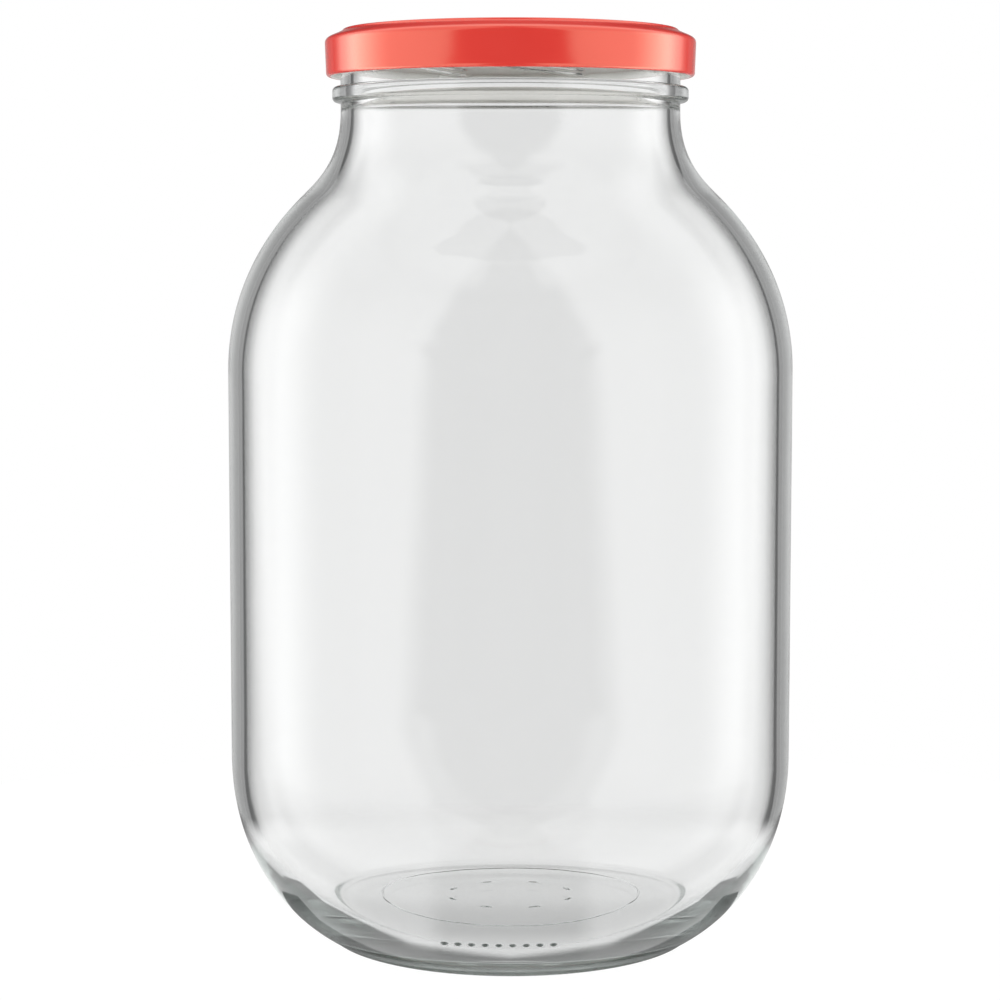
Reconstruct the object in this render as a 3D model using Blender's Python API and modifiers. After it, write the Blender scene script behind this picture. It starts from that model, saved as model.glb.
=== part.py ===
"""A clear glass storage jar of about three litres with a twist-off metal lid.

The jar stands on z = 0 with its axis on the z axis. All sizes are in metres. The lid is screwed
down: its lugs lie under the glass threads, and its sealing ring lies on the jar's rim.
"""

import math

import bmesh
import bpy
from mathutils import Vector
from mathutils.geometry import interpolate_bezier

# How finely round shapes are divided
TURN_STEPS = 56
CURVE_POINTS = 8
INNER_CURVE_POINTS = 6
FULL_TURN = 2 * math.pi

# Clearances between pieces
SEAT_GAP = 0.0003
RUNNING_GAP = 0.0003
JOIN_DEPTH = 0.0006

# Glass body, from the resting plane upwards
BODY_RADIUS = 0.0789
BODY_WALL = 0.0042
HEEL_HEIGHT = 0.0521
STRAIGHT_HEIGHT = 0.1073
SHOULDER_HEIGHT = 0.0728
FINISH_HEIGHT = 0.0203

# Heel and resting ring
RING_RADIUS = 0.0487
RING_FLAT = 0.0020
HEEL_FOOT_OUT = 0.0043
HEEL_FOOT_RISE = 0.0017
HEEL_FOOT_SLOPE = math.radians(30.5)
HEEL_UPPER_HANDLE_SHARE = 0.44
HEEL_LOWER_HANDLE_SHARE = 0.34

# Push-up under the base, and the floor above it
RECESS_HEIGHT = 0.0006
RECESS_EDGE_WIDTH = 0.0012
FLOOR_HEIGHT = 0.0080
FLOOR_RADIUS = 0.0374
FLOOR_DISH = 0.0003
FLOOR_RAMP_WIDTH = 0.0102
FLOOR_RAMP_RISE = 0.0023
FLOOR_SHELF_WIDTH = 0.0059
FLOOR_SHELF_RISE = 0.0008
HEEL_INNER_SLOPE = math.radians(20.0)
HEEL_INNER_LOWER_HANDLE_SHARE = 0.38
HEEL_INNER_UPPER_HANDLE_SHARE = 0.57

# Shoulder and neck curves: the place where the outline turns from bulging to hollow
TURN_OUT_SHARE = 0.366
TURN_UP_SHARE = 0.669
TURN_SLOPE = math.radians(45.3)
SHOULDER_LOWER_HANDLE_SHARE = 0.127
SHOULDER_UPPER_HANDLE_SHARE = 0.590
NECK_LOWER_HANDLE_SHARE = 0.270
NECK_UPPER_HANDLE_SHARE = 0.573

# Neck and finish
NECK_RADIUS = 0.0472
NECK_WALL = 0.0036
RIM_ROUND = 0.0012
BEAD_DROP = 0.0156
BEAD_HEIGHT = 0.0042
BEAD_PROUD = 0.0023
BEAD_ROUND = 0.0012

# Glass threads: short ramps that the lid's lugs slide under
LUG_COUNT = 8
THREAD_RISE = 0.0036
THREAD_PROUD = 0.0018
THREAD_FOOT = 0.0020
THREAD_CREST = 0.0007
THREAD_SPAN_SHARE = 0.90
THREAD_LEAD_IN_SHARE = 0.16
THREAD_TIP_SHARE = 0.2
THREAD_POINTS = 9

# Lid: one stamped sheet
LID_SHEET = 0.0003
LID_HEIGHT = 0.0130
LID_FLARE = 0.0003
LID_CURL = 0.0019
LID_CORNER_DROP = 0.0039
LID_LEDGE_DROP = 0.0007
LID_LEDGE_WIDTH = 0.0019
LID_LEDGE_SLOPE_DROP = 0.0007
CHANNEL_OUTER_REACH = 0.0013
CHANNEL_INNER_REACH = 0.0026
CHANNEL_ROUND = 0.0004
PANEL_DROP = 0.0017
PANEL_RAMP = 0.0012
BUTTON_RADIUS = 0.0130
BUTTON_RISE = 0.0007
BUTTON_RAMP = 0.0022

# Lugs: places where the rolled edge is pressed inwards
LUG_WIDTH = 0.0075
LUG_THICKNESS = 0.0009
LUG_REACH = 0.0013
LUG_ROUND = 0.0002

# Sealing ring in the lid's channel
GASKET_THICKNESS = 0.0014
GASKET_DISH = 0.0002

# Heights and radii that follow from the sizes above
BODY_TOP_Z = HEEL_HEIGHT + STRAIGHT_HEIGHT
SHOULDER_TOP_Z = BODY_TOP_Z + SHOULDER_HEIGHT
RIM_Z = SHOULDER_TOP_Z + FINISH_HEIGHT
BORE_RADIUS = NECK_RADIUS - NECK_WALL
RIM_MIDDLE_RADIUS = NECK_RADIUS - NECK_WALL / 2
THREAD_CREST_RADIUS = NECK_RADIUS + THREAD_PROUD
LID_RADIUS = THREAD_CREST_RADIUS + RUNNING_GAP + LID_CURL
LID_TOP_Z = RIM_Z + SEAT_GAP + GASKET_THICKNESS + SEAT_GAP + LID_SHEET
LID_BOTTOM_Z = LID_TOP_Z - LID_HEIGHT
LUG_MIDDLE_Z = LID_BOTTOM_Z + LID_CURL / 2
LUG_PITCH = FULL_TURN / LUG_COUNT
LUG_TIP_RADIUS = THREAD_CREST_RADIUS - LUG_REACH
THREAD_LEAD = THREAD_RISE * LUG_COUNT
THREAD_START_Z = LUG_MIDDLE_Z + LUG_THICKNESS / 2 + SEAT_GAP + THREAD_FOOT / 2


def clear_scene():
    for obj in list(bpy.data.objects):
        bpy.data.objects.remove(obj, do_unlink=True)


def new_collection(name, hidden=False):
    collection = bpy.data.collections.new(name)
    collection.hide_render = hidden
    bpy.context.scene.collection.children.link(collection)
    return collection


def new_material(name, colour, roughness, metallic=0.0, transmission=0.0):
    material = bpy.data.materials.new(name)
    material.use_nodes = True
    shader = material.node_tree.nodes["Principled BSDF"]
    shader.inputs["Base Color"].default_value = (*colour, 1.0)
    shader.inputs["Roughness"].default_value = roughness
    shader.inputs["Metallic"].default_value = metallic
    shader.inputs["Transmission Weight"].default_value = transmission
    return material


def bezier(start, start_handle, end_handle, end, count=CURVE_POINTS):
    """Points of one curve stretch in the (radius, height) plane, both ends included."""
    ends = [Vector((r, 0.0, z)) for r, z in (start, start_handle, end_handle, end)]
    return [(p.x, p.z) for p in interpolate_bezier(*ends, count)]


def arc(centre, radius, start, end, count=CURVE_POINTS):
    """Points of one round stretch, its angles measured from straight outwards."""
    points = []
    for step in range(count):
        angle = start + (end - start) * step / (count - 1)
        points.append((centre[0] + radius * math.cos(angle), centre[1] + radius * math.sin(angle)))
    return points


def along(point, slope, distance):
    """The place a distance away from a point, in a direction given as a slope."""
    return (point[0] + distance * math.cos(slope), point[1] + distance * math.sin(slope))


def turned(name, outline, material, collection, closed=False):
    """A turned shape: the outline runs outwards and down its outer side, and is screwed round z."""
    mesh = bpy.data.meshes.new(name)
    edges = [(i, i + 1) for i in range(len(outline) - 1)]
    if closed:
        edges.append((len(outline) - 1, 0))
    mesh.from_pydata([(r, 0.0, z) for r, z in outline], edges, [])
    mesh.materials.append(material)
    obj = bpy.data.objects.new(name, mesh)
    collection.objects.link(obj)
    screw = obj.modifiers.new("Turn", "SCREW")
    screw.steps = TURN_STEPS
    screw.render_steps = TURN_STEPS
    screw.use_merge_vertices = True
    screw.merge_threshold = SEAT_GAP / 100
    screw.use_smooth_shade = True
    return obj


def glass_outline():
    """The jar's section, from the middle of its floor, over the rim, to the middle of its base."""
    inner_radius = BODY_RADIUS - BODY_WALL
    points = floor_curve(inner_radius)
    points += shoulder_curve(inner_radius, BORE_RADIUS, BODY_WALL, INNER_CURVE_POINTS)[::-1]
    points += arc(
        (BORE_RADIUS + RIM_ROUND, RIM_Z - RIM_ROUND), RIM_ROUND, math.pi, math.pi / 2, 4
    )
    points += arc((NECK_RADIUS - RIM_ROUND, RIM_Z - RIM_ROUND), RIM_ROUND, math.pi / 2, 0.0, 4)
    points += bead_curve()
    points += shoulder_curve(BODY_RADIUS, NECK_RADIUS, 0.0, CURVE_POINTS)
    points += base_curve()
    return points


def floor_curve(inner_radius):
    """The inside of the base: a round floor, a ramp and a shelf round it, and the inner heel."""
    edge = (FLOOR_RADIUS, FLOOR_HEIGHT - FLOOR_DISH)
    ramp_top = (FLOOR_RADIUS + FLOOR_RAMP_WIDTH, edge[1] + FLOOR_RAMP_RISE)
    shelf = (ramp_top[0] + FLOOR_SHELF_WIDTH, ramp_top[1] + FLOOR_SHELF_RISE)
    heel_rise = HEEL_HEIGHT - shelf[1]
    heel_reach = inner_radius - shelf[0]
    points = [(0.0, FLOOR_HEIGHT), edge]
    points += [
        (edge[0] + FLOOR_RAMP_WIDTH * 0.25, edge[1] + FLOOR_RAMP_RISE * 0.16),
        (edge[0] + FLOOR_RAMP_WIDTH * 0.75, edge[1] + FLOOR_RAMP_RISE * 0.84),
        ramp_top,
    ]
    points += bezier(
        shelf,
        along(shelf, HEEL_INNER_SLOPE, heel_reach * HEEL_INNER_LOWER_HANDLE_SHARE),
        (inner_radius, HEEL_HEIGHT - heel_rise * HEEL_INNER_UPPER_HANDLE_SHARE),
        (inner_radius, HEEL_HEIGHT),
        CURVE_POINTS,
    )
    return points


def shoulder_curve(body_radius, neck_radius, wall, count):
    """From the neck down to the body's straight wall. The inner one is lower by the wall's slant."""
    sink = wall / 2
    reach = body_radius - neck_radius
    top = (neck_radius, SHOULDER_TOP_Z - sink)
    turn = (
        neck_radius + reach * TURN_OUT_SHARE,
        BODY_TOP_Z + SHOULDER_HEIGHT * TURN_UP_SHARE - sink,
    )
    bottom = (body_radius, BODY_TOP_Z - sink)
    neck_drop = top[1] - turn[1]
    shoulder_drop = turn[1] - bottom[1]
    hollow = bezier(
        top,
        (neck_radius, top[1] - neck_drop * NECK_UPPER_HANDLE_SHARE),
        along(turn, math.pi - TURN_SLOPE, neck_drop * NECK_LOWER_HANDLE_SHARE),
        turn,
        count - 1,
    )
    bulge = bezier(
        turn,
        along(turn, -TURN_SLOPE, shoulder_drop * SHOULDER_UPPER_HANDLE_SHARE),
        (body_radius, bottom[1] + shoulder_drop * SHOULDER_LOWER_HANDLE_SHARE),
        bottom,
        count,
    )
    return hollow + bulge[1:]


def bead_curve():
    """The round bead below the threads, by which the bare jar is gripped."""
    top_z = RIM_Z - BEAD_DROP + BEAD_HEIGHT / 2
    bottom_z = top_z - BEAD_HEIGHT
    corner_radius = NECK_RADIUS + BEAD_PROUD - BEAD_ROUND
    points = [(NECK_RADIUS, top_z)]
    points += arc((corner_radius, top_z - BEAD_ROUND), BEAD_ROUND, math.pi / 2, 0.0, 4)
    points += arc((corner_radius, bottom_z + BEAD_ROUND), BEAD_ROUND, 0.0, -math.pi / 2, 4)
    points.append((NECK_RADIUS, bottom_z))
    return points


def base_curve():
    """The outer heel, the flat ring that the jar rests on, and the shallow recess inside it."""
    foot = (RING_RADIUS + HEEL_FOOT_OUT, HEEL_FOOT_RISE)
    ring_outer = RING_RADIUS + RING_FLAT / 2
    ring_inner = RING_RADIUS - RING_FLAT / 2
    points = bezier(
        (BODY_RADIUS, HEEL_HEIGHT),
        (BODY_RADIUS, HEEL_HEIGHT * (1 - HEEL_UPPER_HANDLE_SHARE)),
        along(foot, HEEL_FOOT_SLOPE, HEEL_HEIGHT * HEEL_LOWER_HANDLE_SHARE),
        foot,
        CURVE_POINTS + 2,
    )
    points += bezier(
        foot,
        along(foot, math.pi + HEEL_FOOT_SLOPE, HEEL_FOOT_OUT / 3),
        (ring_outer + HEEL_FOOT_OUT / 3, 0.0),
        (ring_outer, 0.0),
        4,
    )[1:]
    recess_edge = (ring_inner - RECESS_EDGE_WIDTH, RECESS_HEIGHT)
    points += [(ring_inner, 0.0), recess_edge, (0.0, RECESS_HEIGHT)]
    return points


def thread_section(collection):
    """The section of a glass thread: its foot is sunk in the wall and its crest is narrower."""
    curve = bpy.data.curves.new("thread_section", "CURVE")
    curve.dimensions = "2D"
    spline = curve.splines.new("POLY")
    half_foot = THREAD_FOOT / 2
    half_crest = THREAD_CREST / 2
    section = [
        (-JOIN_DEPTH, -half_foot),
        (THREAD_PROUD / 4, -half_foot),
        (THREAD_PROUD, -half_crest),
        (THREAD_PROUD, half_crest),
        (THREAD_PROUD / 4, half_foot),
        (-JOIN_DEPTH, half_foot),
    ]
    spline.points.add(len(section) - 1)
    for point, (out, up) in zip(spline.points, section):
        point.co = (out, up, 0.0, 1.0)
    spline.use_cyclic_u = True
    obj = bpy.data.objects.new("thread_section", curve)
    collection.objects.link(obj)
    obj.hide_render = True
    return obj


def thread_rod(index, section, collection):
    """One glass thread, as a solid that follows a helix on the neck and fades out at both ends."""
    curve = bpy.data.curves.new(f"thread_{index}", "CURVE")
    curve.dimensions = "3D"
    curve.twist_mode = "Z_UP"
    curve.bevel_mode = "OBJECT"
    curve.bevel_object = section
    curve.use_fill_caps = True
    spline = curve.splines.new("POLY")
    spline.points.add(THREAD_POINTS - 1)
    closed_angle = LUG_PITCH * (index + 1 / 2)
    for step, point in enumerate(spline.points):
        share = step / (THREAD_POINTS - 1)
        turn = LUG_PITCH * (THREAD_SPAN_SHARE * share - THREAD_LEAD_IN_SHARE)
        angle = closed_angle + turn
        height = THREAD_START_Z + THREAD_LEAD * turn / FULL_TURN
        point.co = (NECK_RADIUS * math.cos(angle), NECK_RADIUS * math.sin(angle), height, 1.0)
        point.radius = 1.0 if 0 < step < THREAD_POINTS - 1 else THREAD_TIP_SHARE
    obj = bpy.data.objects.new(f"thread_{index}", curve)
    collection.objects.link(obj)
    return obj


def solid_copy(source, name, collection):
    """A mesh object made from a curve object, with its caps joined to its sides."""
    graph = bpy.context.evaluated_depsgraph_get()
    mesh = bpy.data.meshes.new_from_object(source.evaluated_get(graph))
    shape = bmesh.new()
    shape.from_mesh(mesh)
    bmesh.ops.remove_doubles(shape, verts=shape.verts, dist=SEAT_GAP / 100)
    bmesh.ops.recalc_face_normals(shape, faces=shape.faces)
    shape.to_mesh(mesh)
    shape.free()
    obj = bpy.data.objects.new(name, mesh)
    obj.matrix_world = source.matrix_world
    collection.objects.link(obj)
    bpy.data.objects.remove(source, do_unlink=True)
    obj.hide_render = True
    obj.display_type = "WIRE"
    return obj


def join_to(target, helper):
    union = target.modifiers.new(f"Join {helper.name}", "BOOLEAN")
    union.operation = "UNION"
    union.solver = "EXACT"
    union.object = helper


def make_jar(parts, helpers):
    glass = new_material("clear_glass", (0.93, 0.97, 0.95), 0.02, transmission=1.0)
    jar = turned("glass_jar", glass_outline(), glass, parts)
    section = thread_section(helpers)
    for index in range(LUG_COUNT):
        rod = thread_rod(index, section, helpers)
        bpy.context.view_layer.update()
        join_to(jar, solid_copy(rod, f"thread_solid_{index}", helpers))
    bpy.data.objects.remove(section, do_unlink=True)
    return jar


def lid_outline():
    """The sheet's outer face, from the middle of the panel out to the end of the rolled edge."""
    panel_z = LID_TOP_Z - PANEL_DROP
    channel_outer = RIM_MIDDLE_RADIUS + CHANNEL_OUTER_REACH
    channel_inner = RIM_MIDDLE_RADIUS - CHANNEL_INNER_REACH
    flare_radius = LID_RADIUS + LID_FLARE
    ledge_z = LID_TOP_Z - LID_LEDGE_DROP
    ledge_end = (channel_outer + LID_LEDGE_WIDTH, ledge_z - LID_LEDGE_SLOPE_DROP)
    corner = (flare_radius, LID_TOP_Z - LID_CORNER_DROP)
    curl_radius = LID_CURL / 2
    curl_centre = (LID_RADIUS - curl_radius, LID_BOTTOM_Z + curl_radius)
    points = [
        (0.0, panel_z + BUTTON_RISE),
        (BUTTON_RADIUS, panel_z + BUTTON_RISE * (1 - 1 / 8)),
        (BUTTON_RADIUS + BUTTON_RAMP, panel_z),
        (channel_inner - PANEL_RAMP, panel_z),
        (channel_inner, LID_TOP_Z - CHANNEL_ROUND),
        (channel_inner + CHANNEL_ROUND, LID_TOP_Z),
        (channel_outer - CHANNEL_ROUND, LID_TOP_Z),
        (channel_outer, LID_TOP_Z - CHANNEL_ROUND),
        (channel_outer + CHANNEL_ROUND, ledge_z),
    ]
    points += bezier(
        ledge_end,
        (ledge_end[0] + (corner[0] - ledge_end[0]) / 2, ledge_end[1] - LID_LEDGE_SLOPE_DROP),
        (corner[0], corner[1] + (ledge_end[1] - corner[1]) / 2),
        corner,
        5,
    )
    points += arc(curl_centre, curl_radius, 0.0, -math.pi * 3 / 2, CURVE_POINTS - 1)
    return points


def make_lug(index, lid_material, helpers):
    """One inward lug: a flat tongue pressed out of the rolled edge, as steep as the thread."""
    radial = LUG_REACH + RUNNING_GAP + LID_SHEET * 3 / 4
    bpy.ops.mesh.primitive_cube_add(size=1.0)
    lug = bpy.context.object
    lug.name = f"lug_{index}"
    for collection in lug.users_collection:
        collection.objects.unlink(lug)
    helpers.objects.link(lug)
    for vertex in lug.data.vertices:
        vertex.co.x = vertex.co.x * radial + LUG_TIP_RADIUS + radial / 2
        vertex.co.y *= LUG_WIDTH
        rise = vertex.co.y * THREAD_LEAD / (FULL_TURN * LUG_TIP_RADIUS)
        vertex.co.z = vertex.co.z * LUG_THICKNESS + LUG_MIDDLE_Z + rise
    lug.rotation_euler.z = LUG_PITCH * (index + 1 / 2)
    lug.data.materials.append(lid_material)
    soften = lug.modifiers.new("Soften", "BEVEL")
    soften.width = LUG_ROUND
    soften.segments = 1
    lug.hide_render = True
    lug.display_type = "WIRE"
    return lug


def make_lid(parts, helpers):
    lacquer = new_material("coral_lacquer", (0.80, 0.09, 0.07), 0.28, metallic=0.15)
    lid = turned("lid_shell", lid_outline(), lacquer, parts)
    sheet = lid.modifiers.new("Sheet", "SOLIDIFY")
    sheet.thickness = LID_SHEET
    sheet.offset = -1.0
    sheet.use_even_offset = True
    for index in range(LUG_COUNT):
        join_to(lid, make_lug(index, lacquer, helpers))
    return lid


def make_gasket(parts):
    compound = new_material("sealing_compound", (0.78, 0.76, 0.72), 0.55)
    inner = RIM_MIDDLE_RADIUS - CHANNEL_INNER_REACH + CHANNEL_ROUND + SEAT_GAP
    outer = RIM_MIDDLE_RADIUS + CHANNEL_OUTER_REACH - CHANNEL_ROUND - SEAT_GAP
    top_z = LID_TOP_Z - LID_SHEET - SEAT_GAP
    bottom_z = RIM_Z + SEAT_GAP
    chamfer = GASKET_THICKNESS / 4
    outline = [
        (inner + chamfer, top_z),
        (outer - chamfer, top_z),
        (outer, top_z - chamfer),
        (outer, bottom_z),
        (RIM_MIDDLE_RADIUS, bottom_z),
        (inner + chamfer, bottom_z - GASKET_DISH),
        (inner, bottom_z + chamfer),
        (inner, top_z - chamfer),
    ]
    return turned("lid_gasket", outline, compound, parts, closed=True)


def main():
    clear_scene()
    parts = new_collection("glass_jar_with_lid")
    helpers = new_collection("helpers", hidden=True)
    make_jar(parts, helpers)
    make_gasket(parts)
    make_lid(parts, helpers)


main()
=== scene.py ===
"""A clear glass storage jar with a coral twist-off lid, on a plain white table.

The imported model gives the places. The glass, the lid and its sealing ring are made again here with
finer curves, and each stands for the node that it replaces. All sizes are in metres.
"""

import math

import bpy
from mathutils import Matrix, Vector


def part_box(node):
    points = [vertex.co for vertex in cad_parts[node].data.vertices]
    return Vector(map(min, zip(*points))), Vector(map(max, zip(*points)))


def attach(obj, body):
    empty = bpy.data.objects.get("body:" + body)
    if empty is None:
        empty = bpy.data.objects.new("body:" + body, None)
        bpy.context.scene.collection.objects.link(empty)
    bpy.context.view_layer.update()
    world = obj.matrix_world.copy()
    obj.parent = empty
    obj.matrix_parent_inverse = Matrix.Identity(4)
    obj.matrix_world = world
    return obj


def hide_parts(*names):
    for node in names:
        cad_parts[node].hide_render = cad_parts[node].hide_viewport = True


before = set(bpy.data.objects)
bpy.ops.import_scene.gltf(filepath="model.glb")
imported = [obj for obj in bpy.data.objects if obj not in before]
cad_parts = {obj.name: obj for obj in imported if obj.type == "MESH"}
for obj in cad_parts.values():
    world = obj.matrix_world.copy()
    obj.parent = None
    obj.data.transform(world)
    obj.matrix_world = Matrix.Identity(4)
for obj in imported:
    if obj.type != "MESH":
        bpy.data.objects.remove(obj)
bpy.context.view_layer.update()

FULL_TURN = 2 * math.pi

# Glass jar
BODY_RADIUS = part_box("glass_jar")[1].x
BODY_WALL = 0.0042
HEEL_HEIGHT = 0.0521
STRAIGHT_HEIGHT = 0.1073
SHOULDER_HEIGHT = 0.0728
RIM_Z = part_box("glass_jar")[1].z
NECK_RADIUS = 0.0472
NECK_WALL = 0.0036
BODY_TOP_Z = HEEL_HEIGHT + STRAIGHT_HEIGHT
SHOULDER_TOP_Z = BODY_TOP_Z + SHOULDER_HEIGHT
BORE_RADIUS = NECK_RADIUS - NECK_WALL
RIM_MIDDLE_RADIUS = NECK_RADIUS - NECK_WALL / 2

# Threads and lugs
LUG_COUNT = 8
LUG_PITCH = FULL_TURN / LUG_COUNT
THREAD_RISE = 0.0036
THREAD_LEAD = THREAD_RISE * LUG_COUNT
THREAD_PROUD = 0.0018
THREAD_FOOT = 0.0020
THREAD_CREST = 0.0007
THREAD_START = -0.16
THREAD_END = 0.74
THREAD_TAPER = 0.11
LUG_WIDTH = 0.0075
LUG_THICKNESS = 0.0009
LUG_REACH = 0.0013
THREAD_CREST_RADIUS = NECK_RADIUS + THREAD_PROUD

# Lid
LID_TOP_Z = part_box("lid_shell")[1].z
LID_BOTTOM_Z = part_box("lid_shell")[0].z
LID_SHEET = 0.0003
LID_CURL = 0.0019
LID_RADIUS = THREAD_CREST_RADIUS + LID_SHEET + LID_CURL
LUG_MIDDLE_Z = LID_BOTTOM_Z + LID_CURL / 2
SEAT_GAP = 0.0003
LUG_TIP_RADIUS = THREAD_CREST_RADIUS - LUG_REACH
THREAD_START_Z = LUG_MIDDLE_Z + LUG_THICKNESS / 2 + SEAT_GAP + THREAD_FOOT / 2

# How many steps the turned pieces have round them, and how often light may bounce
GLASS_STEPS = 192
LID_STEPS = 160
LIGHT_BOUNCES = 32

# How long the handles of a quarter round are, as a share of its radius
ROUND_HANDLE = 0.5523


# Selecting and finishing


def deselect_all():
    bpy.ops.object.select_all(action="DESELECT")


def select_only(obj):
    deselect_all()
    obj.select_set(True)
    bpy.context.view_layer.objects.active = obj


def apply_modifiers(obj):
    select_only(obj)
    for modifier in list(obj.modifiers):
        bpy.ops.object.modifier_apply(modifier=modifier.name)


def apply_place(obj):
    select_only(obj)
    bpy.ops.object.transform_apply(location=True, rotation=True, scale=True)


class Outline:
    """A turned piece's section in the plane of radius and height, drawn in curved stretches."""

    def __init__(self, radius, height):
        self.end = (radius, height)
        self.stretches = []

    def curve(self, leave, arrive, point, parts=12):
        """A curved stretch to a point, with the handles it leaves and arrives by."""
        self.stretches.append((self.end, leave, arrive, point, parts))
        self.end = point

    def line(self, radius, height, parts=1):
        start = self.end
        third = ((radius - start[0]) / 3, (height - start[1]) / 3)
        leave = (start[0] + third[0], start[1] + third[1])
        arrive = (radius - third[0], height - third[1])
        self.curve(leave, arrive, (radius, height), parts)

    def corner(self, radius, height, outwards_first, parts=6):
        """A quarter round to a point: it leaves level or upright, and arrives the other way."""
        start = self.end
        across = (radius - start[0]) * ROUND_HANDLE
        up = (height - start[1]) * ROUND_HANDLE
        if outwards_first:
            leave = (start[0] + across, start[1])
            arrive = (radius, height - up)
        else:
            leave = (start[0], start[1] + up)
            arrive = (radius - across, height)
        self.curve(leave, arrive, (radius, height), parts)

    def curve_from(self, radius, height, offsets):
        """A curved stretch whose handles and end are given from one place in the section."""
        self.curve(*((radius + across, height + up) for across, up in offsets))

    def draw(self, name):
        """The section as one curve object, with a spline for each stretch."""
        deselect_all()
        bpy.ops.curve.primitive_bezier_curve_add(location=(0, 0, 0))
        curve = bpy.context.object
        curve.name = name
        curve.data.dimensions = "3D"
        curve.data.splines.clear()
        for start, leave, arrive, end, parts in self.stretches:
            spline = curve.data.splines.new("BEZIER")
            spline.bezier_points.add(1)
            spline.resolution_u = parts
            for point, place, hold in zip(spline.bezier_points, (start, end), (leave, arrive)):
                point.handle_left_type = "FREE"
                point.handle_right_type = "FREE"
                point.co = (place[0], 0, place[1])
                point.handle_left = (hold[0], 0, hold[1])
                point.handle_right = (hold[0], 0, hold[1])
        return curve


def turn(outline, name, steps):
    """A solid turned from a section: the section becomes edges, which are spun round the z axis."""
    outline.draw(name)
    bpy.ops.object.convert(target="MESH")
    obj = bpy.context.object
    bpy.ops.object.mode_set(mode="EDIT")
    bpy.ops.mesh.select_all(action="SELECT")
    bpy.ops.mesh.spin(
        steps=steps, angle=FULL_TURN, center=(0, 0, 0), axis=(0, 0, 1), use_auto_merge=True
    )
    bpy.ops.mesh.select_all(action="SELECT")
    bpy.ops.mesh.remove_doubles(threshold=SEAT_GAP / 100)
    bpy.ops.mesh.normals_make_consistent(inside=False)
    bpy.ops.object.mode_set(mode="OBJECT")
    bpy.ops.object.shade_smooth()
    return obj


def ease(share):
    """A smooth step from 0 to 1."""
    share = min(max(share, 0.0), 1.0)
    return share * share * (3 - 2 * share)


def along(point, slope, distance):
    return (point[0] + distance * math.cos(slope), point[1] + distance * math.sin(slope))


# Shader maths


class Signal:
    """A socket that arithmetic can be done on: each operator adds a Math node."""

    def __init__(self, graph, socket):
        self.graph = graph
        self.socket = socket

    def math(self, operation, *others):
        values = dict(enumerate((self, *others)))
        return self.graph.node("ShaderNodeMath", {"operation": operation}, values)

    def __add__(self, other):
        return self.math("ADD", other)

    def __sub__(self, other):
        return self.math("SUBTRACT", other)

    def __rsub__(self, other):
        return self.graph.node("ShaderNodeMath", {"operation": "SUBTRACT"}, {0: other, 1: self})

    def __mul__(self, other):
        return self.math("MULTIPLY", other)

    def __truediv__(self, other):
        return self.math("DIVIDE", other)

    __radd__ = __add__


class Graph:
    """A node tree, to which one method adds every kind of node."""

    def __init__(self, tree):
        self.tree = tree
        tree.nodes.clear()

    def node(self, kind, settings=None, inputs=None, output=0):
        made = self.tree.nodes.new(kind)
        for name, value in (settings or {}).items():
            setattr(made, name, value)
        for key, value in (inputs or {}).items():
            if isinstance(value, Signal):
                self.tree.links.new(value.socket, made.inputs[key])
            else:
                made.inputs[key].default_value = value
        return Signal(self, made.outputs[output]) if made.outputs else made

    def outputs(self, kind, names, inputs=None):
        """Several outputs of one new node, in the order of their names."""
        sockets = self.node(kind, inputs=inputs).socket.node.outputs
        return [Signal(self, sockets[name]) for name in names]

    def look_up(self, table, value, start, end, peak):
        """A table's level at a value, read between its rows. No level is over the peak."""
        span = end - start
        made = self.node("ShaderNodeValToRGB", inputs={0: (value - start) / span})
        elements = made.socket.node.color_ramp.elements
        while len(elements) < len(table):
            elements.new(1.0)
        for element, (place, level) in zip(elements, table):
            element.position = (place - start) / span
            element.color = (level / peak, level / peak, level / peak, 1.0)
        return made * peak

    def smooth(self, value, start, end):
        """0 before start, 1 after end, and a smooth step between them."""
        settings = {"interpolation_type": "SMOOTHSTEP"}
        return self.node("ShaderNodeMapRange", settings, {0: value, 1: start, 2: end})

    def noise(self, place, scale, detail):
        inputs = {"Vector": place, "Scale": scale, "Detail": detail}
        return self.node("ShaderNodeTexNoise", inputs=inputs)


DEGREES = 180 / math.pi


def angle_round(x, y):
    """The angle round the z axis from the camera's side, in degrees, to the left or right."""
    return x.math("ABSOLUTE").math("ARCTAN2", y * -1) * DEGREES


def new_material(name):
    material = bpy.data.materials.new(name)
    material.use_nodes = True
    return material, Graph(material.node_tree)


# Camera, table and light

CAMERA_PLACE = (-0.0029, -0.7788, 0.1988)
CAMERA_TILT = math.radians(5.51)
CAMERA_LENS = 99.78
SENSOR_WIDTH = 36.0


def add_camera():
    """The photograph's view: from in front, with the lens near shoulder height, tilted down."""
    data = bpy.data.cameras.new("camera")
    data.sensor_width = SENSOR_WIDTH
    data.lens = CAMERA_LENS
    camera = bpy.data.objects.new("camera", data)
    camera.location = CAMERA_PLACE
    camera.rotation_euler = (math.pi / 2 - CAMERA_TILT, 0, 0)
    bpy.context.scene.collection.objects.link(camera)
    bpy.context.scene.camera = camera


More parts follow.
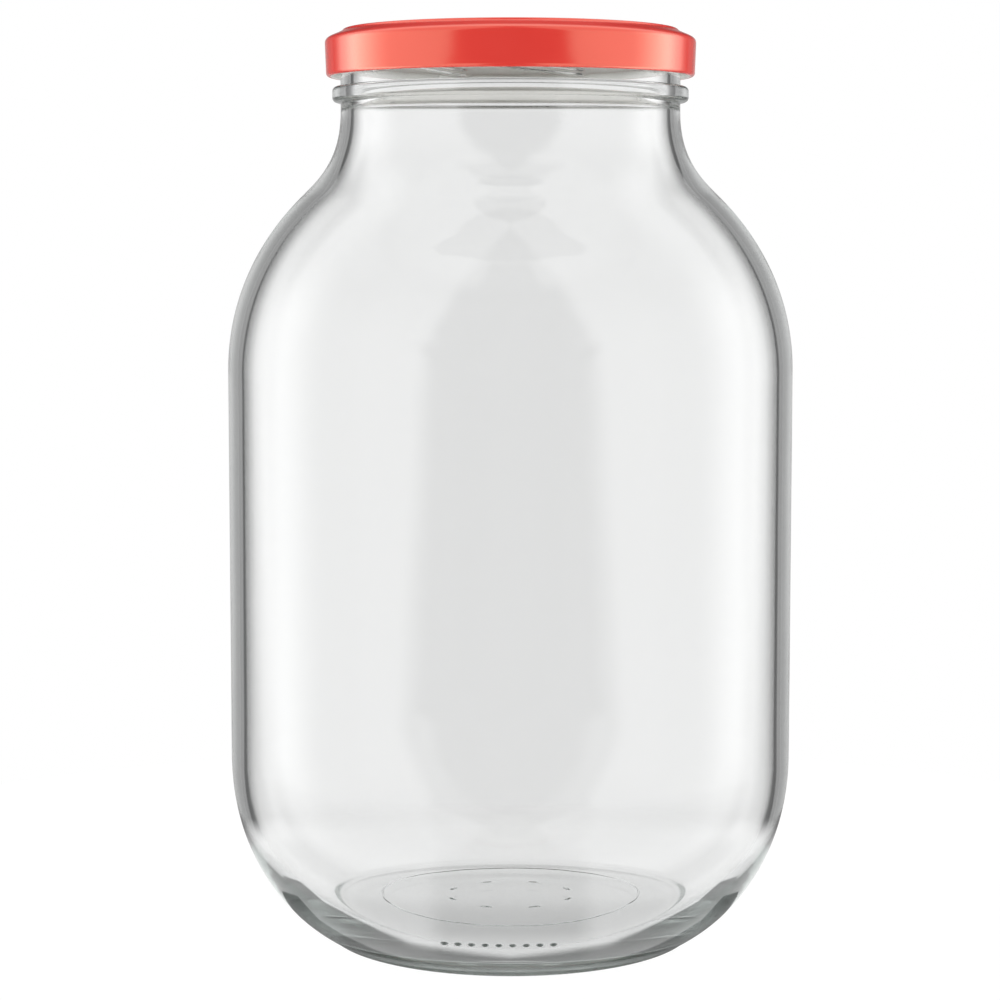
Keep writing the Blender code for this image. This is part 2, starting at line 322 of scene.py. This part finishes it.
# Half the width of the dark gap between the front lamps, in degrees, at each elevation
GAP_WIDTHS = (
    (-90, 20),
    (-40, 25),
    (-30, 20),
    (-20, 10),
    (-13.7, 26.2),
    (-11.8, 33.3),
    (-11.3, 40.0),
    (-10.7, 44.6),
    (-8.9, 42.4),
    (-7.1, 40.5),
    (-5.3, 38.2),
    (-2.3, 36.1),
    (7.6, 35.2),
    (15.1, 35.4),
    (24, 33.2),
    (30.7, 30),
    (39.6, 28.6),
    (43.6, 26.3),
    (49.6, 23.6),
    (53.9, 19.8),
    (58.1, 17.4),
    (62.4, 14.5),
    (66.7, 12.3),
    (70, 7),
    (73, 0),
    (77, 0),
    (80, 90),
)


# How bright the studio is by the angle from the camera's side: 180 is straight behind the jar
LAMP_LEVELS = (
    (0, 0.78),
    (47, 0.78),
    (65, 0.82),
    (81, 0.8),
    (98, 0.95),
    (107, 1.2),
    (114, 1.4),
    (121, 1.3),
    (127, 1.1),
    (130, 0.9),
    (133, 0.45),
    (136, 0.2),
    (139, 0.1),
    (142, 0.06),
    (143.5, 0.1),
    (145, 0.42),
    (150, 0.42),
    (156, 0.46),
    (160, 0.6),
    (163, 0.85),
    (165.5, 1.0),
    (180, 1.0),
)
LAMP_PEAK = 1.45

# Where the studio's light changes, in degrees from the camera's side, and by how much
GAP_SOFTNESS = 4.5
ROOM_ANGLES = (20, 60)
ROOM_EXTRA = 0.22
RIM_ANGLES = (143, 146)
RIM_DIMMING = 0.55
RIM_DIMMING_ABOVE = 0.35
STRIP_ANGLES = (78, 102)
STRIP_END_ANGLES = (110, 126)
STRIP_EXTRA = 0.9
CEILING_DIMMING = 0.35
FILL = 0.88
FILL_SIDE_ANGLES = (45, 100)
FILL_SIDE_EXTRA = 0.6
FILL_BACK_ANGLES = (130, 155)
FILL_BACK_DIMMING = 0.3

# The heights between which they change: 0 is level and 1 is straight up
LOW_HEIGHTS = (0.20, 0.24)
STRIP_HEIGHTS = (0.25, 0.6)
RIM_HEIGHTS = (0.04, 0.35)
CEILING_HEIGHTS = (0.2, 0.7)


def gap_width(graph, height):
    """Half the gap's width in degrees, at a height from -1, straight down, to 1, straight up."""
    return graph.look_up(GAP_WIDTHS, height.math("ARCSINE") * DEGREES, -90, 90, 90)


def add_world():
    """A white backdrop in a ring of dark flats, lamps at the sides and a dark gap in front.

    The gap shows in reflections alone. Those inside the jar also see it low down, as wide as above.
    """
    world = bpy.data.worlds.new("studio")
    bpy.context.scene.world = world
    world.use_nodes = True
    graph = Graph(world.node_tree)
    is_camera, is_diffuse, is_transmission, reflections = graph.outputs(
        "ShaderNodeLightPath",
        ("Is Camera Ray", "Is Diffuse Ray", "Is Transmission Ray", "Glossy Depth"),
    )
    is_reflected = 1 - is_transmission
    bounced = reflections.math("GREATER_THAN", 0.5)
    direction = graph.node("ShaderNodeTexCoord", output="Generated")
    x, y, z = graph.outputs("ShaderNodeSeparateXYZ", "XYZ", {0: direction})
    azimuth = angle_round(x, y)
    turned = (y * -1).math("ARCCOSINE") * DEGREES
    lamps = graph.look_up(LAMP_LEVELS, turned, 0, 180, LAMP_PEAK)
    low = is_transmission * graph.smooth(z * -1, *LOW_HEIGHTS)
    gap = gap_width(graph, z) * (1 - low) + gap_width(graph, z.math("ABSOLUTE")) * low
    lit = 1 - bounced * (1 - graph.smooth(azimuth - gap, -GAP_SOFTNESS, GAP_SOFTNESS))
    room = (1 - bounced) * (1 - graph.smooth(azimuth, *ROOM_ANGLES)) * ROOM_EXTRA
    rim = is_reflected * graph.smooth(turned, *RIM_ANGLES)
    rim_dimming = rim * (RIM_DIMMING + graph.smooth(z, *RIM_HEIGHTS) * RIM_DIMMING_ABOVE)
    strips = graph.smooth(azimuth, *STRIP_ANGLES) * (1 - graph.smooth(azimuth, *STRIP_END_ANGLES))
    strips = is_reflected * strips * (1 - graph.smooth(z, *STRIP_HEIGHTS)) * STRIP_EXTRA
    ceiling = bounced * graph.smooth(z, *CEILING_HEIGHTS) * CEILING_DIMMING
    studio = lamps * lit * (1 - rim_dimming) * (1 + strips) * (1 - ceiling) + room
    side_fill = graph.smooth(azimuth, *FILL_SIDE_ANGLES) * FILL_SIDE_EXTRA
    back_fill = graph.smooth(azimuth, *FILL_BACK_ANGLES) * FILL_BACK_DIMMING
    plain = is_camera + is_diffuse
    fill = is_diffuse * (FILL + side_fill - back_fill)
    strength = is_camera + fill + (1 - plain) * studio
    background = graph.node(
        "ShaderNodeBackground", inputs={"Color": (1, 1, 1, 1), "Strength": strength}
    )
    graph.node("ShaderNodeOutputWorld", inputs={"Surface": background})


# How far from the axis the painted shade under the heel reaches on the table, at each angle round it
# from the front
SHADE_REACH = (
    (0, 0.0525),
    (33, 0.0545),
    (44, 0.0565),
    (57, 0.0610),
    (68, 0.0660),
    (78, 0.0780),
    (95, 0.0790),
    (110, 0.0500),
)

# How bright the table looks in and through the glass, by the distance from the jar's axis: a painted
# shadow, darker under the jar
TABLE_LEVELS = ((0.0, 0.75), (0.045, 0.75), (0.055, 0.95), (0.070, 1.0), (0.25, 1.0))
TABLE_SPAN = 0.25
TABLE_RADIUS = 0.28

# What the camera sees of the table: mostly an even white, over a little of its real shading
CAMERA_WHITE = 1.03
CAMERA_WHITE_SHARE = 0.9

# The table carries painted shade for reflections alone: near the heel, and in front of the jar
HEEL_SHADE = 0.8
HEEL_SHADE_SOFTNESS = 0.001
FRONT_SHADE = 0.85
FRONT_SHADE_ANGLES = (18, 27)
FRONT_SHADE_START = (0.056, 0.062)
FAR_TABLE = (0.11, 0.16)


def add_table():
    """A white table with a faint shadow, and painted shade near the jar for reflections. Glass and
    metal see past its far part to the studio.
    """
    deselect_all()
    bpy.ops.mesh.primitive_circle_add(vertices=128, radius=TABLE_RADIUS, fill_type="NGON")
    table = bpy.context.object
    table.name = "table"
    material, graph = new_material("white_table")
    is_camera, is_glossy, is_transmission, reflections = graph.outputs(
        "ShaderNodeLightPath",
        ("Is Camera Ray", "Is Glossy Ray", "Is Transmission Ray", "Glossy Depth"),
    )
    seen = (is_glossy + is_transmission).math("MINIMUM", 1.0)
    bounced = reflections.math("GREATER_THAN", 0.5)
    place = graph.node("ShaderNodeTexCoord", output="Object")
    x, y = graph.outputs("ShaderNodeSeparateXYZ", "XY", {0: place})
    azimuth = angle_round(x, y)
    reach = graph.look_up(SHADE_REACH, azimuth, 0, 180, TABLE_SPAN)
    distance = graph.node(
        "ShaderNodeVectorMath", {"operation": "LENGTH"}, {0: place}, output="Value"
    )
    past_heel = graph.smooth(distance - reach, -HEEL_SHADE_SOFTNESS, HEEL_SHADE_SOFTNESS)
    heel_shade = bounced * (1 - past_heel) * HEEL_SHADE
    ahead = 1 - graph.smooth(azimuth, *FRONT_SHADE_ANGLES)
    front_shade = bounced * ahead * graph.smooth(distance, *FRONT_SHADE_START) * FRONT_SHADE
    plain = graph.node("ShaderNodeBsdfDiffuse", inputs={"Color": (0.9, 0.9, 0.9, 1)})
    # The level and the shades are painted shadow, which the glass and the lid's reflections see on
    # the table
    level = graph.look_up(TABLE_LEVELS, distance, 0, TABLE_SPAN, 1.0)
    shades = (1 - heel_shade) * (1 - front_shade)
    brightness = is_camera * CAMERA_WHITE + seen * level * shades
    glow = graph.node(
        "ShaderNodeEmission", inputs={"Color": (1, 1, 1, 1), "Strength": brightness}
    )
    through_glass = seen * (1 - is_camera)
    glow_share = is_camera * CAMERA_WHITE_SHARE + through_glass
    near = graph.node("ShaderNodeMixShader", inputs={0: glow_share, 1: plain, 2: glow})
    clear = graph.node("ShaderNodeBsdfTransparent")
    far = through_glass * graph.smooth(distance, *FAR_TABLE)
    mix = graph.node("ShaderNodeMixShader", inputs={0: far, 1: near, 2: clear})
    graph.node("ShaderNodeOutputMaterial", inputs={"Surface": mix})
    table.data.materials.append(material)
    table.location.z = -SEAT_GAP
    apply_place(table)


# Glass jar

# The heel: where its outer curve meets the foot, and where its inner curve meets the floor
FOOT = (0.0530, 0.0017)
FOOT_SLOPE = math.radians(30.5)
FOOT_ROUND = 0.0014
FLOOR_Z = 0.0078
FLOOR_EDGE = (0.0520, FLOOR_Z)
FLOOR_EDGE_SLOPE = math.radians(5)
HEEL_SLOPE = math.radians(36)

# How long the heel's curve handles are, as shares of its height and reach
OUTER_HEEL_SHARES = (0.44, 0.34)
INNER_HEEL_SHARES = (0.51, 0.60)

# The floor: each radius at which its rows change, and the count of rows up to there
FLOOR_RINGS = ((0.0162, 1), (0.0198, 12), (0.0364, 1), (0.0384, 12), (0.0450, 1))

# How long the handles of the curve from the flat floor to its edge are
FLOOR_HANDLES = (0.0030, 0.0016)

# The ring that the jar rests on, and the recess inside it
REST_OUTER = 0.0497
REST_INNER = 0.0477
RECESS = 0.0003
RECESS_HANDLES = (REST_INNER - 0.008, 0.0300)

# The shoulder: where it bends the other way, and how long its curve handles are, as shares
BEND_SHARES = (0.366, 0.669)
BEND_SLOPE = math.radians(45.3)
HOLLOW_SHARES = (0.573, 0.270)
BULGE_SHARES = (0.590, 0.127)

# The neck
NECK_ROWS = 72
BEAD_TOP_Z = RIM_Z - 0.0135
BEAD_HEIGHT = 0.0042
BEAD_PROUD = 0.0023
BEAD_ROUND = 0.0012
RIM_ROUND = 0.0012

# How many rows the curves are cut into
FLOOR_EDGE_PARTS = 20
HEEL_PARTS = 64
BULGE_PARTS = 40
HOLLOW_PARTS = 24
RECESS_PARTS = 24


def shoulder(outline, body_radius, neck_radius, sink, upwards):
    """The shoulder's curve, hollow under the neck and bulging to the body, up or down."""
    reach = (body_radius - neck_radius) * BEND_SHARES[0]
    top = (neck_radius, SHOULDER_TOP_Z - sink)
    bend = (neck_radius + reach, BODY_TOP_Z + SHOULDER_HEIGHT * BEND_SHARES[1] - sink)
    bottom = (body_radius, BODY_TOP_Z - sink)
    neck_drop = top[1] - bend[1]
    drop = bend[1] - bottom[1]
    hollow = (
        (neck_radius, top[1] - neck_drop * HOLLOW_SHARES[0]),
        along(bend, math.pi - BEND_SLOPE, neck_drop * HOLLOW_SHARES[1]),
    )
    bulge = (
        along(bend, -BEND_SLOPE, drop * BULGE_SHARES[0]),
        (body_radius, bottom[1] + drop * BULGE_SHARES[1]),
    )
    if upwards:
        outline.line(*bottom)
        outline.curve(bulge[1], bulge[0], bend, BULGE_PARTS)
        outline.curve(hollow[1], hollow[0], top, HOLLOW_PARTS)
    else:
        outline.line(*top)
        outline.curve(hollow[0], hollow[1], bend, HOLLOW_PARTS)
        outline.curve(bulge[0], bulge[1], bottom, BULGE_PARTS)


def glass_outline():
    """The jar's section, from the middle of its floor, over the rim, to the middle of its base."""
    inner = BODY_RADIUS - BODY_WALL
    bead_radius = NECK_RADIUS + BEAD_PROUD
    bead_bottom = BEAD_TOP_Z - BEAD_HEIGHT
    rise = HEEL_HEIGHT - FLOOR_EDGE[1]
    reach = inner - FLOOR_EDGE[0]
    flat_end = FLOOR_RINGS[-1][0]
    section = Outline(0, FLOOR_Z)
    for radius, parts in FLOOR_RINGS:
        section.line(radius, FLOOR_Z, parts)
    section.curve(
        (flat_end + FLOOR_HANDLES[0], FLOOR_Z),
        along(FLOOR_EDGE, math.pi + FLOOR_EDGE_SLOPE, FLOOR_HANDLES[1]),
        FLOOR_EDGE,
        FLOOR_EDGE_PARTS,
    )
    section.curve(
        along(FLOOR_EDGE, HEEL_SLOPE, reach * INNER_HEEL_SHARES[0]),
        (inner, HEEL_HEIGHT - rise * INNER_HEEL_SHARES[1]),
        (inner, HEEL_HEIGHT),
        HEEL_PARTS,
    )
    shoulder(section, inner, BORE_RADIUS, BODY_WALL / 2, upwards=True)
    section.line(BORE_RADIUS, RIM_Z - RIM_ROUND)
    section.corner(BORE_RADIUS + RIM_ROUND, RIM_Z, outwards_first=False)
    section.line(NECK_RADIUS - RIM_ROUND, RIM_Z)
    section.corner(NECK_RADIUS, RIM_Z - RIM_ROUND, outwards_first=True)
    section.line(NECK_RADIUS, BEAD_TOP_Z, NECK_ROWS)
    section.line(bead_radius - BEAD_ROUND, BEAD_TOP_Z)
    section.corner(bead_radius, BEAD_TOP_Z - BEAD_ROUND, outwards_first=True)
    section.line(bead_radius, bead_bottom + BEAD_ROUND)
    section.corner(bead_radius - BEAD_ROUND, bead_bottom, outwards_first=False)
    section.line(NECK_RADIUS, bead_bottom)
    shoulder(section, BODY_RADIUS, NECK_RADIUS, 0.0, upwards=False)
    section.line(BODY_RADIUS, HEEL_HEIGHT)
    section.curve(
        (BODY_RADIUS, HEEL_HEIGHT * (1 - OUTER_HEEL_SHARES[0])),
        along(FOOT, FOOT_SLOPE, HEEL_HEIGHT * OUTER_HEEL_SHARES[1]),
        FOOT,
        HEEL_PARTS,
    )
    section.curve(
        along(FOOT, math.pi + FOOT_SLOPE, FOOT_ROUND), (REST_OUTER + FOOT_ROUND, 0), (REST_OUTER, 0)
    )
    section.line(REST_INNER, 0)
    section.curve((RECESS_HANDLES[0], 0), (RECESS_HANDLES[1], RECESS), (0, RECESS), RECESS_PARTS)
    return section


def raise_threads(glass):
    """Eight short ramps on the neck, each faded out at both ends."""
    for vertex in glass.data.vertices:
        x, y, z = vertex.co
        on_neck = abs(math.hypot(x, y) - NECK_RADIUS) < SEAT_GAP / 10
        if not on_neck or not BEAD_TOP_Z + SEAT_GAP < z < RIM_Z - RIM_ROUND:
            continue
        share = (math.atan2(y, x) / LUG_PITCH - 0.5 - THREAD_START) % 1.0 + THREAD_START
        height = THREAD_START_Z + THREAD_RISE * share
        ends = ease(min(share - THREAD_START, THREAD_END - share) / THREAD_TAPER)
        flank = (THREAD_FOOT - THREAD_CREST) / 2
        across = 1 - ease((abs(z - height) - THREAD_CREST / 2) / flank)
        scale = 1 + THREAD_PROUD * ends * across / NECK_RADIUS
        vertex.co.x = x * scale
        vertex.co.y = y * scale


# The seam of the mould's bottom plate on the floor, and its coarse and fine waves
SEAM_RADIUS = 0.0374
SEAM_HALF_WIDTH = 0.0004
SEAM_RISE = 0.00016
COARSE_WAVE = (0.00022, 5, 0.7)
FINE_WAVE = (0.00012, 17, 0.0)

# The short dashes inside it, one for each lug
DASH_RING_RADIUS = 0.0180
DASH_HALF_WIDTH = 0.0007
DASH_HALF_LENGTH = 0.001
DASH_END = 0.0008
DASH_RISE = 0.00025


def raise_floor_marks(glass):
    """The wavy seam and the ring of dashes, raised from the flat part of the floor."""
    for vertex in glass.data.vertices:
        x, y, z = vertex.co
        if abs(z - FLOOR_Z) > SEAT_GAP / 100:
            continue
        radius = math.hypot(x, y)
        angle = math.atan2(y, x)
        wave = sum(
            height * math.sin(count * angle + shift)
            for height, count, shift in (COARSE_WAVE, FINE_WAVE)
        )
        seam = 1 - ease(abs(radius - SEAM_RADIUS - wave) / SEAM_HALF_WIDTH)
        beside = abs((angle / LUG_PITCH) % 1.0 - 0.5) * LUG_PITCH * DASH_RING_RADIUS
        dash = 1 - ease((beside - DASH_HALF_LENGTH) / DASH_END)
        dash *= 1 - ease(abs(radius - DASH_RING_RADIUS) / DASH_HALF_WIDTH)
        vertex.co.z = z + SEAM_RISE * seam + DASH_RISE * dash


# On the front of the heel: a row of small raised dots
DOT_Z = 0.0122
DOT_RADIUS = 0.0010
DOT_RISE = 0.0004
DOT_PITCH = 0.0036
DOT_COUNT = 9
FIRST_DOT = -0.0176
DOT_FLATNESS = 1.3
DOT_FIELD_MIDDLE = -0.003
DOT_FIELD_HALF_WIDTH = 0.0175
DOT_FIELD_HALF_HEIGHT = 0.0035
DOT_CUTS = 5
HEEL_LEAN = 0.9


def on_outer_heel(x, y, z):
    """Whether a place low on the glass is nearer to its outer side than to its inner one."""
    return math.hypot(x, y) > FOOT[0] + (z - FOOT[1]) * HEEL_LEAN


def raise_dots(glass):
    """The faces there are divided more finely, along the heel's curve, and then raised."""
    select_only(glass)
    bpy.ops.object.mode_set(mode="EDIT")
    bpy.context.tool_settings.mesh_select_mode = (False, False, True)
    bpy.ops.mesh.select_all(action="DESELECT")
    bpy.ops.object.mode_set(mode="OBJECT")
    for face in glass.data.polygons:
        x, y, z = face.center
        outer = face.normal.y < 0 and y < 0 and on_outer_heel(x, y, z)
        beside = abs(x - DOT_FIELD_MIDDLE) < DOT_FIELD_HALF_WIDTH
        face.select = outer and beside and abs(z - DOT_Z) < DOT_FIELD_HALF_HEIGHT
    bpy.ops.object.mode_set(mode="EDIT")
    bpy.ops.mesh.subdivide(number_cuts=DOT_CUTS, smoothness=1.0)
    bpy.ops.object.mode_set(mode="OBJECT")
    for vertex in glass.data.vertices:
        x, y, z = vertex.co
        if y > 0 or abs(z - DOT_Z) > DOT_FIELD_HALF_HEIGHT or not on_outer_heel(x, y, z):
            continue
        for index in range(DOT_COUNT):
            away = math.hypot(x - FIRST_DOT - DOT_PITCH * index, (z - DOT_Z) * DOT_FLATNESS)
            rise = DOT_RISE * (1 - ease(away / DOT_RADIUS))
            if rise:
                vertex.co += vertex.normal * rise


# The foot's stipple begins between these radii and fades out between these heights
FOOT_RADII = (0.047, 0.049)
FOOT_HEIGHTS = (0.003, 0.0065)
FOOT_ROUGHNESS = 0.18

# Above these heights light falls straight through the glass, and below them it leaves a shadow
CLEAR_HEIGHTS = (0.15, 0.2)


def glass_material():
    """Clear glass with faint waves, stippled on its foot, and green where light goes far in it."""
    material, graph = new_material("clear_glass")
    place = graph.node("ShaderNodeTexCoord", output="Object")
    x, y, z = graph.outputs("ShaderNodeSeparateXYZ", "XYZ", {0: place})
    radius = (x * x + y * y).math("SQRT")
    foot = (1 - graph.smooth(z, *FOOT_HEIGHTS)) * graph.smooth(radius, *FOOT_RADII)
    waves = graph.noise(place, 35.0, 1.0)
    stipple = graph.noise(place, 1100.0, 2.0)
    bump = graph.node(
        "ShaderNodeBump",
        inputs={"Strength": 0.02, "Distance": 0.001, "Height": waves + foot * stipple},
    )
    shader = graph.node(
        "ShaderNodeBsdfPrincipled",
        inputs={
            "Base Color": (0.944, 0.944, 0.944, 1),
            "Roughness": foot * FOOT_ROUGHNESS,
            "IOR": 1.52,
            "Transmission Weight": 1.0,
            "Normal": bump,
        },
    )
    names = ("Is Diffuse Ray", "Is Shadow Ray")
    is_diffuse, is_shadow = graph.outputs("ShaderNodeLightPath", names)
    lights_pass = is_diffuse + is_shadow * graph.smooth(z, *CLEAR_HEIGHTS)
    clear = graph.node("ShaderNodeBsdfTransparent", inputs={"Color": (0.96, 0.96, 0.96, 1)})
    surface = graph.node("ShaderNodeMixShader", inputs={0: lights_pass, 1: shader, 2: clear})
    fog = graph.node(
        "ShaderNodeVolumeAbsorption", inputs={"Color": (0.22, 0.40, 0.33, 1), "Density": 4.0}
    )
    graph.node("ShaderNodeOutputMaterial", inputs={"Surface": surface, "Volume": fog})
    return material


def make_glass():
    glass = turn(glass_outline(), "glass", GLASS_STEPS)
    raise_threads(glass)
    raise_floor_marks(glass)
    raise_dots(glass)
    glass.data.materials.append(glass_material())
    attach(glass, "jar")
    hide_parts("glass_jar")


# Lid


PANEL_DROP = 0.0017
BUTTON_RISE = 0.0007
CHANNEL_INNER = RIM_MIDDLE_RADIUS - 0.0026
CHANNEL_OUTER = RIM_MIDDLE_RADIUS + 0.0013
CHANNEL_FOOT = 0.0012
CHANNEL_ROUND = 0.0006
SLOPE_WIDTH = 0.0019
SLOPE_DROP = 0.0014
SKIRT_FLARE = 0.0003
SKIRT_CORNER_DROP = 0.0039

# The lid's curves: the two handles and the end of each, as steps outwards and upwards from the
# panel's middle, from the channel's inner or outer wall at the lid's top, or from the skirt
BUTTON_CURVES = (
    ((0.0060, 0.0007), (0.0115, 0.0007), (0.0130, 0.0005)),
    ((0.0140, 0.0003), (0.0142, 0.0), (0.0152, 0.0)),
)
INNER_WALL_CURVE = ((-0.0006, -PANEL_DROP), (-0.0004, 0.0), (CHANNEL_ROUND, 0.0))
OUTER_WALL_CURVE = ((0.0, 0.0), (0.0, -0.0007), (0.0006, -0.0008))
SKIRT_HANDLE = (0.0040, -0.0022)
SKIRT_CORNER_HANDLE = 0.0013


def lid_outline():
    """The lid's outer side, from the middle of its button to the end of its rolled edge."""
    panel_z = LID_TOP_Z - PANEL_DROP
    flare = LID_RADIUS + SKIRT_FLARE
    corner_z = LID_TOP_Z - SKIRT_CORNER_DROP
    curl = LID_CURL / 2
    middle = (LID_RADIUS - curl, LID_BOTTOM_Z + curl)
    section = Outline(0, panel_z + BUTTON_RISE)
    for offsets in BUTTON_CURVES:
        section.curve_from(0, panel_z, offsets)
    section.line(CHANNEL_INNER - CHANNEL_FOOT, panel_z)
    section.curve_from(CHANNEL_INNER, LID_TOP_Z, INNER_WALL_CURVE)
    section.line(CHANNEL_OUTER - CHANNEL_ROUND, LID_TOP_Z)
    section.curve_from(CHANNEL_OUTER, LID_TOP_Z, OUTER_WALL_CURVE)
    section.line(CHANNEL_OUTER + SLOPE_WIDTH, LID_TOP_Z - SLOPE_DROP)
    section.curve(
        (CHANNEL_OUTER + SKIRT_HANDLE[0], LID_TOP_Z + SKIRT_HANDLE[1]),
        (flare, corner_z + SKIRT_CORNER_HANDLE),
        (flare, corner_z),
    )
    section.line(LID_RADIUS, middle[1])
    for x, z, level in ((0, -1, False), (-1, 0, True), (0, 1, False)):
        section.corner(middle[0] + x * curl, middle[1] + z * curl, outwards_first=level)
    return section


# How much the roughness of a finish drifts, from its roughest clouds to its smoothest
ROUGHNESS_DRIFT = 0.06


def coated_material(name, colours, roughness, scales, relief, more=None):
    """An opaque finish: its tone and gloss drift a little in soft clouds, over a fine grain."""
    material, graph = new_material(name)
    place = graph.node("ShaderNodeTexCoord", output="Object")
    clouds, grain = (graph.noise(place, scale, 2.0) for scale in scales)
    bump = graph.node(
        "ShaderNodeBump", inputs={"Strength": relief, "Distance": 0.0002, "Height": grain}
    )
    colour = graph.node(
        "ShaderNodeMix",
        {"data_type": "RGBA"},
        {0: clouds, 6: (*colours[0], 1), 7: (*colours[1], 1)},
        output=2,
    )
    drift = clouds * ROUGHNESS_DRIFT + (roughness - ROUGHNESS_DRIFT / 2)
    inputs = {"Base Color": colour, "Roughness": drift, "Normal": bump}
    shader = graph.node("ShaderNodeBsdfPrincipled", inputs={**inputs, **(more or {})})
    graph.node("ShaderNodeOutputMaterial", inputs={"Surface": shader})
    return material


def lacquer_material():
    gloss = {
        "IOR": 2.3,
        "Specular Tint": (1.0, 0.93, 0.60, 1),
        "Coat Weight": 0.5,
        "Coat Roughness": 0.04,
    }
    colours = ((0.94, 0.043, 0.037), (1.0, 0.049, 0.043))
    return coated_material("coral_lacquer", colours, 0.20, (60.0, 900.0), 0.03, gloss)


def enamel_material():
    colours = ((0.78, 0.77, 0.73), (0.86, 0.85, 0.82))
    return coated_material("white_enamel", colours, 0.30, (90.0, 1200.0), 0.05)


LUG_ROUND = 0.00035
LUG_ROOT = LID_SHEET * 3 / 4

# The white enamel goes round the rolled edge up to here
ENAMEL_RADIUS = LID_RADIUS - LID_CURL * 0.6
ENAMEL_TOP_Z = LID_BOTTOM_Z + LID_CURL * 1.5


def make_lug(lid, index):
    """One flat tongue pressed inwards from the rolled edge, as steep as the threads."""
    reach = LUG_REACH + SEAT_GAP + LUG_ROOT
    deselect_all()
    bpy.ops.mesh.primitive_cube_add(
        size=1,
        location=(LUG_TIP_RADIUS + reach / 2, 0, LUG_MIDDLE_Z),
        scale=(reach, LUG_WIDTH, LUG_THICKNESS),
    )
    lug = bpy.context.object
    lug.name = f"lug_{index}"
    apply_place(lug)
    bpy.ops.object.mode_set(mode="EDIT")
    bpy.ops.mesh.select_all(action="SELECT")
    bpy.ops.mesh.bevel(offset=LUG_ROUND, segments=4)
    bpy.ops.object.mode_set(mode="OBJECT")
    bpy.ops.object.shade_smooth()
    slope = THREAD_LEAD / (FULL_TURN * LUG_TIP_RADIUS)
    for vertex in lug.data.vertices:
        vertex.co.z += vertex.co.y * slope
    lug.rotation_euler.z = LUG_PITCH * (index + 1 / 2)
    apply_place(lug)
    lug.data.materials.append(lid.data.materials[1])
    return lug


def make_lid():
    lid = turn(lid_outline(), "lid", LID_STEPS)
    lid.data.materials.append(lacquer_material())
    lid.data.materials.append(enamel_material())
    sheet = lid.modifiers.new("sheet", "SOLIDIFY")
    sheet.thickness = LID_SHEET
    sheet.offset = -1
    sheet.use_even_offset = True
    sheet.material_offset = 1
    apply_modifiers(lid)
    for face in lid.data.polygons:
        x, y, z = face.center
        if math.hypot(x, y) < ENAMEL_RADIUS and z < ENAMEL_TOP_Z:
            face.material_index = 1
    lugs = [make_lug(lid, index) for index in range(LUG_COUNT)]
    select_only(lid)
    for lug in lugs:
        lug.select_set(True)
    bpy.ops.object.join()
    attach(lid, "lid")
    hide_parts("lid_shell")


# Sealing ring
RING_INNER = RIM_MIDDLE_RADIUS - 0.0019
RING_OUTER = RIM_MIDDLE_RADIUS + 0.0006
RING_ROUND = 0.0004


def make_sealing_ring():
    """The soft ring between the jar's rim and the lid's channel."""
    top = LID_TOP_Z - LID_SHEET - SEAT_GAP / 2
    bottom = RIM_Z + SEAT_GAP / 2
    section = Outline(RING_INNER + RING_ROUND, top)
    section.line(RING_OUTER - RING_ROUND, top)
    section.corner(RING_OUTER, top - RING_ROUND, outwards_first=True)
    section.line(RING_OUTER, bottom + RING_ROUND)
    section.corner(RING_OUTER - RING_ROUND, bottom, outwards_first=False)
    section.line(RING_INNER + RING_ROUND, bottom)
    section.corner(RING_INNER, bottom + RING_ROUND, outwards_first=True)
    section.line(RING_INNER, top - RING_ROUND)
    section.corner(RING_INNER + RING_ROUND, top, outwards_first=False)
    ring = turn(section, "sealing_ring", LID_STEPS)
    colours = ((0.72, 0.70, 0.65), (0.82, 0.80, 0.76))
    compound = coated_material("sealing_compound", colours, 0.55, (120.0, 1500.0), 0.2)
    ring.data.materials.append(compound)
    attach(ring, "seal")
    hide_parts("lid_gasket")


bpy.context.scene.view_settings.view_transform = "Standard"
bpy.context.scene.cycles.max_bounces = LIGHT_BOUNCES
bpy.context.scene.cycles.glossy_bounces = LIGHT_BOUNCES
bpy.context.scene.cycles.transmission_bounces = LIGHT_BOUNCES
add_camera()
add_world()
add_table()
make_glass()
make_lid()
make_sealing_ring()
